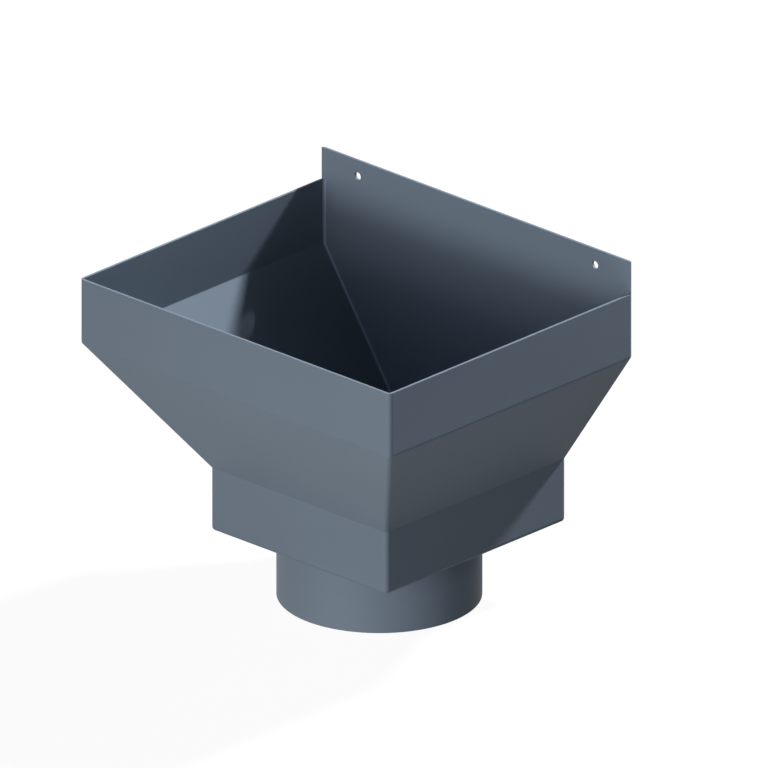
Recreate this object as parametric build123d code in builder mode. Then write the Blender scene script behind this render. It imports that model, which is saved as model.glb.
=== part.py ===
from build123d import *
from math import atan2, tan
import os

# Rainwater hopper head: a flat-backed box that narrows on three sides to a round outlet.
# It is welded from four pieces of sheet: the folded shell of the front and the two sides,
# the flat back plate with its fixing upstand, the base plate and the outlet spigot.
# The origin is on the outlet's axis at the spigot's lower end. The front is at -Y, the wall
# at +Y, and +Z is up. Millimetres.

# Sheet
SHEET = 2.0                 # thickness of every wall
BEND_INNER = 1.5            # radius on the inside of each fold and each dressed corner

# Heights of the rim box, the taper and the lower box
RIM_HEIGHT = 50.0
TAPER_HEIGHT = 100.0
LOWER_HEIGHT = 50.0

# The taper draws in the front and both sides alike
TAPER_INSET = 67.25

# Outlet spigot
SPIGOT_OUTER = 150.0        # diameter
SPIGOT_LENGTH = 50.0        # below the base plate
WELD_LEG = 3.0              # fillet weld round the spigot's root

# Ledges of the lower box round the spigot, from its outside to each outer face
LEDGE_SIDE = 13.25
LEDGE_FRONT = 10.75
LEDGE_BACK = 29.5           # also the downpipe's gap to the wall

# Upstand and its two fixing holes
UPSTAND_HEIGHT = 25.0
HOLE_DIAMETER = 6.0
HOLE_FROM_SIDE = 36.5       # from each outer side of the rim box
HOLE_ABOVE_RIM = 12.5

# Levels
base_top = SPIGOT_LENGTH + SHEET
lower_fold = SPIGOT_LENGTH + LOWER_HEIGHT
upper_fold = lower_fold + TAPER_HEIGHT
rim = upper_fold + RIM_HEIGHT

# Outer faces
spigot_radius = SPIGOT_OUTER / 2
half_low = spigot_radius + LEDGE_SIDE
half_rim = half_low + TAPER_INSET
low_front = -spigot_radius - LEDGE_FRONT
rim_front = low_front - TAPER_INSET
back_face = spigot_radius + LEDGE_BACK

# Sizes that follow
bend_outer = BEND_INNER + SHEET
bore_radius = spigot_radius - SHEET
back_seam = back_face - SHEET
hole_spacing = 2 * (half_rim - HOLE_FROM_SIDE)

# Core: the hopper's form drawn in by the outer bend radius and carried up past the rim.
# Its folds lie a little higher than on the outer face, as those of parallel sheets do.
fold_lift = bend_outer * tan(atan2(TAPER_INSET, TAPER_HEIGHT) / 2)
core_low = SPIGOT_LENGTH + bend_outer
core_waist = lower_fold + fold_lift
core_shoulder = upper_fold + fold_lift
core_top = rim + bend_outer
core_half_rim = half_rim - bend_outer
core_half_low = half_low - bend_outer
core_rim_front = rim_front + bend_outer
core_low_front = low_front + bend_outer
core_back = back_face - bend_outer
waist_bend = bend_outer + BEND_INNER

# Its front view and its side view cross, which makes the two hips of the taper
with BuildPart() as core:
    with BuildSketch(Plane.XZ) as front_view:
        with BuildLine():
            Polyline(
                (0, core_low),
                (core_half_low, core_low),
                (core_half_low, core_waist),
                (core_half_rim, core_shoulder),
                (core_half_rim, core_top),
                (0, core_top),
                close=True,
            )
        make_face()
        fillet(front_view.vertices().group_by(Axis.Y)[1], radius=waist_bend)
        mirror(about=Plane.YZ)
    extrude(amount=2 * half_rim, both=True)
    with BuildSketch(Plane.YZ) as side_view:
        with BuildLine():
            Polyline(
                (core_back, core_low),
                (core_low_front, core_low),
                (core_low_front, core_waist),
                (core_rim_front, core_shoulder),
                (core_rim_front, core_top),
                (core_back, core_top),
                close=True,
            )
        make_face()
        fillet(side_view.vertices().group_by(Axis.Y)[1], radius=waist_bend)
    extrude(amount=half_rim, both=True, mode=Mode.INTERSECT)

# The core swells with round corners to the outside of the sheet and to its inside, so the
# wall keeps one thickness through every fold, hip and corner
with BuildPart() as outside:
    add(core.part)
    offset(amount=bend_outer, kind=Kind.ARC)
with BuildPart() as hollow:
    add(core.part)
    offset(amount=BEND_INNER, kind=Kind.ARC)

# Welded body, before it is parted along its seams
with BuildPart() as body:
    add(outside.part)
    add(hollow.part, mode=Mode.SUBTRACT)
    split(bisect_by=Plane.XY.offset(rim), keep=Keep.BOTTOM)

# Inner weld along the foot of the back plate
with BuildPart() as foot_weld:
    add(body.part)
    with BuildSketch(Plane.XY.offset(base_top)):
        with Locations((0, back_seam)):
            Rectangle(2 * core_half_low, BEND_INNER, align=(Align.CENTER, Align.MAX))
    extrude(amount=BEND_INNER, mode=Mode.INTERSECT)

# Front and sides in one folded sheet, welded and dressed down the hips
with BuildPart() as hopper_shell:
    add(body.part)
    split(bisect_by=Plane.XZ.offset(-back_seam), keep=Keep.TOP)
    split(bisect_by=Plane.XY.offset(base_top), keep=Keep.TOP)
    add(foot_weld.part, mode=Mode.SUBTRACT)
hopper_shell.part.label = "hopper_shell"

# Flat back. It runs on above the rim as the upstand, with its ends round like the corners.
with BuildPart() as back_plate:
    add(body.part)
    split(bisect_by=Plane.XZ.offset(-back_seam), keep=Keep.BOTTOM)
    add(foot_weld.part)
    extrude(back_plate.faces().sort_by(Axis.Z)[-1], amount=UPSTAND_HEIGHT)
    with BuildSketch(Plane.XZ.offset(-back_seam)):
        with Locations((0, rim + HOLE_ABOVE_RIM)):
            with GridLocations(hole_spacing, 0, 2, 1):
                Circle(HOLE_DIAMETER / 2)
    extrude(amount=-SHEET, mode=Mode.SUBTRACT)
back_plate.part.label = "back_plate"

# Base with the outlet hole, as wide as the spigot's bore
with BuildPart() as base_plate:
    add(body.part)
    split(bisect_by=Plane.XZ.offset(-back_seam), keep=Keep.TOP)
    split(bisect_by=Plane.XY.offset(base_top), keep=Keep.BOTTOM)
    with BuildSketch(Plane.XY.offset(SPIGOT_LENGTH)):
        Circle(bore_radius)
    extrude(amount=SHEET, mode=Mode.SUBTRACT)
base_plate.part.label = "base_plate"

# Rolled tube set on the underside of the base, with the weld round its root
with BuildPart() as outlet_spigot:
    with BuildSketch(Plane.XZ):
        with BuildLine():
            Polyline(
                (bore_radius, 0),
                (spigot_radius, 0),
                (spigot_radius, SPIGOT_LENGTH - WELD_LEG),
                (spigot_radius + WELD_LEG, SPIGOT_LENGTH),
                (bore_radius, SPIGOT_LENGTH),
                close=True,
            )
        make_face()
    revolve(axis=Axis.Z)
outlet_spigot.part.label = "outlet_spigot"

os.makedirs("parts", exist_ok=True)
export_step(hopper_shell.part, "parts/hopper_shell.step")
export_step(back_plate.part, "parts/back_plate.step")
export_step(base_plate.part, "parts/base_plate.step")
export_step(outlet_spigot.part, "parts/outlet_spigot.step")
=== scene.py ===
from math import cos, radians, sin

import bpy
from mathutils import Matrix, Vector

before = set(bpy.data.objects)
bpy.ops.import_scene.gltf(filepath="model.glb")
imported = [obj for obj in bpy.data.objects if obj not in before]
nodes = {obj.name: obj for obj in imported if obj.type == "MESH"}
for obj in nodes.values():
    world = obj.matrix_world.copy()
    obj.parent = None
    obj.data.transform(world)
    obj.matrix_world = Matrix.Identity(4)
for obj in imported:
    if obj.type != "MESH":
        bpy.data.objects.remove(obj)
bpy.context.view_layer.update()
scene = bpy.context.scene

# Metres and degrees throughout

# Satin coating, blue-grey
COAT = (0.1325, 0.168, 0.21, 1.0)
COAT_ROUGHNESS = 0.6
COAT_SPECULAR = 0.5
COAT_IOR = 1.3                          # below a real coating's 1.5, so it mirrors less white

# A faint cloud in its colour, and orange peel in its gloss and on its surface
NOISE_LOW, NOISE_HIGH = 0.3, 0.7        # the noise stays mostly between these
CLOUD_SCALE, CLOUD_DETAIL = 9.0, 3.0
CLOUD_TINT = 0.025                      # up and down from the plain colour
PEEL_SCALE, PEEL_DETAIL = 420.0, 2.0
PEEL_ROUGHNESS = 0.03                   # up and down from COAT_ROUGHNESS
PEEL_STRENGTH, PEEL_HEIGHT = 0.06, 0.0004

# Cut edges are rounded, and lighter on them: partly a thinner coating, partly a painted highlight
EDGE_RADIUS = 0.0002
EDGE_SAMPLES = 4
EDGE_THIN_COAT_AND_HIGHLIGHT = 1.1
EDGE_ROUND, EDGE_FLAT = 0.75, 0.98      # flatness with the whole tint and with none

# Painted highlight: a thin light line painted down the two inner corners of the back plate, over
# the dressed weld.
# The corners lie at half the inner width, which grows from the taper's lower fold to its upper.
INNER_LOW, INNER_RIM = 0.08625, 0.1535
FOLD_LOW, FOLD_HIGH, RIM = 0.100, 0.200, 0.250
SEAM_HIGHLIGHT_IN = 0.0018                        # from the corner to the painted line's middle
SEAM_HIGHLIGHT_CORE = 0.00018                     # from its middle to where it begins to fade
SEAM_HIGHLIGHT_HALF = 0.00135                     # and to its side
SEAM_HIGHLIGHT_FRONT = 0.1010                     # where the corner's round starts
SEAM_HIGHLIGHT_FADE = 0.0003
# how much lighter the painted highlight is
SEAM_HIGHLIGHT_TINT = 2.0
FACES_FRONT, FACES_SIDE = -0.2, -0.1    # Y of the sheet's normal

# Lamps
WHITE_LIGHT = (1.0, 1.0, 1.0)
OBJECT_MIDDLE = Vector((0.0, -0.02, 0.14))  # which the soft boxes face
SOFT_BOX_SPREAD = 0.3                   # width of a soft box over its distance
SPOT_BLEND = 0.6
SPOT_RADIUS = 0.04

# Floor, just below the spigot's end
FLOOR_HALF = 4.0
FLOOR_Z = -0.0002
FLOOR_GREY = 0.05                       # the part that shows the shadow
FLOOR_GLOW = 0.95                       # the part that is always white

# Photograph: a parallel projection, in which the rim's near corner sits a little to the right
# of the middle and below it
PHOTO_PIXELS = 768
PIXELS_PER_METRE = 1375.0
CAMERA_AZIMUTH, CAMERA_ELEVATION = 43.5, 23.192
NEAR_CORNER = Vector((0.1555, -0.153, RIM))
CORNER_TO_CAMERA = Vector((-0.00412, 0.00776, 1.5))  # in the camera's own right, up and back
CLIP_START, CLIP_END = 0.01, 20.0


class Tree:
    """A material's or the world's node tree, emptied and ready to be filled."""

    def __init__(self, owner):
        owner.use_nodes = True
        self.tree = owner.node_tree
        self.tree.nodes.clear()

    def add(self, kind, **values):
        node = self.tree.nodes.new(kind)
        for name, value in values.items():
            setattr(node, name, value)
        return node

    def link(self, source, target):
        self.tree.links.new(source, target)

    def show(self, shader, output_kind):
        self.link(shader.outputs[0], self.add(output_kind).inputs["Surface"])


def math_node(t, operation, *values):
    node = t.add("ShaderNodeMath", operation=operation)
    for socket, value in zip(node.inputs, values):
        if isinstance(value, float):
            socket.default_value = value
        else:
            t.link(value, socket)
    return node.outputs[0]


def map_range(t, value, low, high, to_low, to_high):
    node = t.add("ShaderNodeMapRange")
    t.link(value, node.inputs["Value"])
    node.inputs["From Min"].default_value = low
    node.inputs["From Max"].default_value = high
    node.inputs["To Min"].default_value = to_low
    node.inputs["To Max"].default_value = to_high
    return node.outputs["Result"]


def noise(t, scale, detail, vector):
    node = t.add("ShaderNodeTexNoise")
    node.inputs["Scale"].default_value = scale
    node.inputs["Detail"].default_value = detail
    t.link(vector, node.inputs["Vector"])
    return node.outputs["Fac"]


def vary(t, value, middle, spread):
    """The middle, up and down by the spread as the noise goes."""
    return map_range(t, value, NOISE_LOW, NOISE_HIGH, middle - spread, middle + spread)


def separate(t, vector):
    node = t.add("ShaderNodeSeparateXYZ")
    t.link(vector, node.inputs[0])
    return node.outputs


def times(t, a, b):
    """Colour a times the value or colour b."""
    node = t.add("ShaderNodeMix", data_type="RGBA", blend_type="MULTIPLY")
    node.inputs["Factor"].default_value = 1.0
    if isinstance(a, tuple):
        node.inputs["A"].default_value = a
    else:
        t.link(a, node.inputs["A"])
    t.link(b, node.inputs["B"])
    return node.outputs["Result"]


def grey_shader(t, kind, level):
    node = t.add(kind)
    node.inputs["Color"].default_value = (level, level, level, 1.0)
    return node


def edge_thin_coat_and_highlight(t, rounded, flat):
    """The tint where the rounded normal leans away from the sheet's at a cut edge, 1 elsewhere:
    partly a thinner coating, partly a painted highlight.
    """
    flatness = t.add("ShaderNodeVectorMath", operation="DOT_PRODUCT")
    t.link(rounded, flatness.inputs[0])
    t.link(flat, flatness.inputs[1])
    return map_range(t, flatness.outputs["Value"], EDGE_ROUND, EDGE_FLAT, EDGE_THIN_COAT_AND_HIGHLIGHT, 1.0)


def painted_seam_highlight(t, place, flat):
    """Painted highlight: the tint on a thin line down the inner corners of the back plate, 1
    elsewhere.
    """
    x, y, z = separate(t, place)
    faces = separate(t, flat)["Y"]
    corner = map_range(t, z, FOLD_LOW, FOLD_HIGH, INNER_LOW, INNER_RIM)
    inwards = math_node(t, "SUBTRACT", corner, math_node(t, "ABSOLUTE", x))
    aside = math_node(t, "ABSOLUTE", math_node(t, "SUBTRACT", inwards, SEAM_HIGHLIGHT_IN))
    painted_line = map_range(t, aside, SEAM_HIGHLIGHT_CORE, SEAM_HIGHLIGHT_HALF, 1.0, 0.0)
    for limit in (
        map_range(t, y, SEAM_HIGHLIGHT_FRONT, SEAM_HIGHLIGHT_FRONT + SEAM_HIGHLIGHT_FADE, 0.0, 1.0),
        map_range(t, faces, FACES_FRONT, FACES_SIDE, 1.0, 0.0),
        map_range(t, z, RIM - SEAM_HIGHLIGHT_FADE, RIM, 1.0, 0.0),
    ):
        painted_line = math_node(t, "MULTIPLY", painted_line, limit)
    return map_range(t, painted_line, 0.0, 1.0, 1.0, SEAM_HIGHLIGHT_TINT)


def coated_sheet(name):
    """Sheet with a coating that has a cloud, orange peel, cut edges lighter by a thinner coating
    and a painted highlight, and a painted highlight down the inner corners.
    """
    material = bpy.data.materials.new(name)
    t = Tree(material)
    coat = t.add("ShaderNodeBsdfPrincipled")
    coat.inputs["Specular IOR Level"].default_value = COAT_SPECULAR
    coat.inputs["IOR"].default_value = COAT_IOR
    t.show(coat, "ShaderNodeOutputMaterial")
    place = t.add("ShaderNodeTexCoord").outputs["Object"]
    flat = t.add("ShaderNodeNewGeometry").outputs["Normal"]
    rounded = t.add("ShaderNodeBevel", samples=EDGE_SAMPLES)
    rounded.inputs["Radius"].default_value = EDGE_RADIUS

    cloud = noise(t, CLOUD_SCALE, CLOUD_DETAIL, place)
    colour = times(t, COAT, vary(t, cloud, 1.0, CLOUD_TINT))
    # Cut edges lighter: partly a thinner coating, partly a painted highlight
    colour = times(t, colour, edge_thin_coat_and_highlight(t, rounded.outputs[0], flat))
    # Painted highlight: a thin light line down the inner corners of the back plate
    colour = times(t, colour, painted_seam_highlight(t, place, flat))
    t.link(colour, coat.inputs["Base Color"])

    peel = noise(t, PEEL_SCALE, PEEL_DETAIL, place)
    t.link(vary(t, peel, COAT_ROUGHNESS, PEEL_ROUGHNESS), coat.inputs["Roughness"])
    bump = t.add("ShaderNodeBump")
    bump.inputs["Strength"].default_value = PEEL_STRENGTH
    bump.inputs["Distance"].default_value = PEEL_HEIGHT
    t.link(peel, bump.inputs["Height"])
    t.link(rounded.outputs[0], bump.inputs["Normal"])
    t.link(bump.outputs["Normal"], coat.inputs["Normal"])
    return material


def mix_by_ray(t, unseen, seen):
    """Shader seen for the camera and in gloss and glass, and shader unseen for diffuse light."""
    ray = t.add("ShaderNodeLightPath").outputs
    shows = math_node(t, "MAXIMUM", ray["Is Camera Ray"], ray["Is Glossy Ray"])
    shows = math_node(t, "MAXIMUM", shows, ray["Is Transmission Ray"])
    mix = t.add("ShaderNodeMixShader")
    t.link(shows, mix.inputs["Fac"])
    t.link(unseen.outputs[0], mix.inputs[1])
    t.link(seen.outputs[0], mix.inputs[2])
    return mix


def pale_floor(name):
    """White but for a faint shadow where it is seen, also in gloss, and black to diffuse light."""
    material = bpy.data.materials.new(name)
    t = Tree(material)
    glow = t.add("ShaderNodeEmission")
    glow.inputs["Strength"].default_value = FLOOR_GLOW
    seen = t.add("ShaderNodeAddShader")
    t.link(grey_shader(t, "ShaderNodeBsdfDiffuse", FLOOR_GREY).outputs[0], seen.inputs[0])
    t.link(glow.outputs[0], seen.inputs[1])
    unseen = grey_shader(t, "ShaderNodeBsdfDiffuse", 0.0)
    t.show(mix_by_ray(t, unseen, seen), "ShaderNodeOutputMaterial")
    return material


def studio_world(name):
    """White where it is seen, also in the object's gloss, and black to diffuse light."""
    world = bpy.data.worlds.new(name)
    t = Tree(world)
    unseen = grey_shader(t, "ShaderNodeBackground", 0.0)
    seen = grey_shader(t, "ShaderNodeBackground", 1.0)
    t.show(mix_by_ray(t, unseen, seen), "ShaderNodeOutputWorld")
    return world


def direction(azimuth, elevation):
    """Unit vector from the object. Azimuth 0 is the front, 90 the +X side."""
    a, e = radians(azimuth), radians(elevation)
    return Vector((sin(a) * cos(e), -cos(a) * cos(e), sin(e)))


def turn_back_to(towards):
    """Turn of a lamp or a camera whose back is towards that side and whose top is up."""
    return towards.to_track_quat("Z", "Y")


def add_lamp(light, towards, place=(0.0, 0.0, 0.0)):
    lamp = bpy.data.objects.new(light.name, light)
    lamp.location = place
    lamp.rotation_mode = "QUATERNION"
    lamp.rotation_quaternion = turn_back_to(towards)
    lamp.visible_camera = False
    scene.collection.objects.link(lamp)


def add_sun(name, azimuth, elevation, strength, angle, colour=WHITE_LIGHT):
    light = bpy.data.lights.new(name, "SUN")
    light.color = colour
    light.energy = strength
    light.angle = radians(angle)
    add_lamp(light, direction(azimuth, elevation))


def add_soft_box(name, azimuth, elevation, distance, watts, colour=WHITE_LIGHT):
    light = bpy.data.lights.new(name, "AREA")
    light.color = colour
    light.shape = "DISK"
    light.size = SOFT_BOX_SPREAD * distance
    light.energy = watts
    towards = direction(azimuth, elevation)
    add_lamp(light, towards, OBJECT_MIDDLE + towards * distance)


def add_spot(name, place, aim, half_angle, watts):
    light = bpy.data.lights.new(name, "SPOT")
    light.spot_size = radians(2 * half_angle)
    light.spot_blend = SPOT_BLEND
    light.shadow_soft_size = SPOT_RADIUS
    light.energy = watts
    add_lamp(light, (place - aim).normalized(), place)


# Coating on every sheet
coating = coated_sheet("coated_sheet")
for node in nodes.values():
    node.data.materials.clear()
    node.data.materials.append(coating)

# Floor and world
floor_mesh = bpy.data.meshes.new("floor")
floor_corners = [
    (x * FLOOR_HALF, y * FLOOR_HALF, 0.0) for x, y in ((-1, -1), (1, -1), (1, 1), (-1, 1))
]
floor_mesh.from_pydata(floor_corners, [], [(0, 1, 2, 3)])
floor_mesh.materials.append(pale_floor("floor_pale"))
floor = bpy.data.objects.new("floor", floor_mesh)
floor.location.z = FLOOR_Z
scene.collection.objects.link(floor)
scene.world = studio_world("studio")

# Lamps: a sun from behind, even light from the front, boxes for the taper and the sides, and a
# spot low on the outlet
add_sun("key", azimuth=171.9, elevation=41.3, strength=7.1, angle=5.2, colour=(0.97, 1.0, 1.05))
add_sun("front_low", azimuth=0.0, elevation=2.0, strength=1.1, angle=8.0)
add_sun("front_middle", azimuth=0.0, elevation=8.0, strength=0.45, angle=16.0)
add_sun("front_wide", azimuth=10.0, elevation=10.0, strength=0.54, angle=30.0)
add_sun("front_right", azimuth=20.0, elevation=8.0, strength=0.16, angle=16.0)
add_soft_box("taper_box", azimuth=20.0, elevation=-4.0, distance=0.8, watts=1.33)
add_soft_box(
    "side_box", azimuth=80.0, elevation=-15.0, distance=0.35, watts=0.034,
    colour=(0.75, 1.0, 1.25),
)
add_soft_box("back_right_box", azimuth=130.0, elevation=30.0, distance=0.5, watts=0.18)
add_soft_box("left_box", azimuth=-95.0, elevation=3.0, distance=0.6, watts=0.4)
add_spot(
    "outlet_spot", place=Vector((0.43, -0.9, 0.03)), aim=Vector((0.0, 0.0, -0.035)),
    half_angle=5.5, watts=5.5,
)

# Camera at the photograph's angle
camera_data = bpy.data.cameras.new("camera")
camera_data.type = "ORTHO"
camera_data.ortho_scale = PHOTO_PIXELS / PIXELS_PER_METRE
camera_data.clip_start = CLIP_START
camera_data.clip_end = CLIP_END
camera = bpy.data.objects.new("camera", camera_data)
camera_turn = turn_back_to(direction(CAMERA_AZIMUTH, CAMERA_ELEVATION))
camera_place = NEAR_CORNER + camera_turn @ CORNER_TO_CAMERA
camera.matrix_world = Matrix.LocRotScale(camera_place, camera_turn, None)
scene.collection.objects.link(camera)
scene.camera = camera

scene.view_settings.view_transform = "Standard"
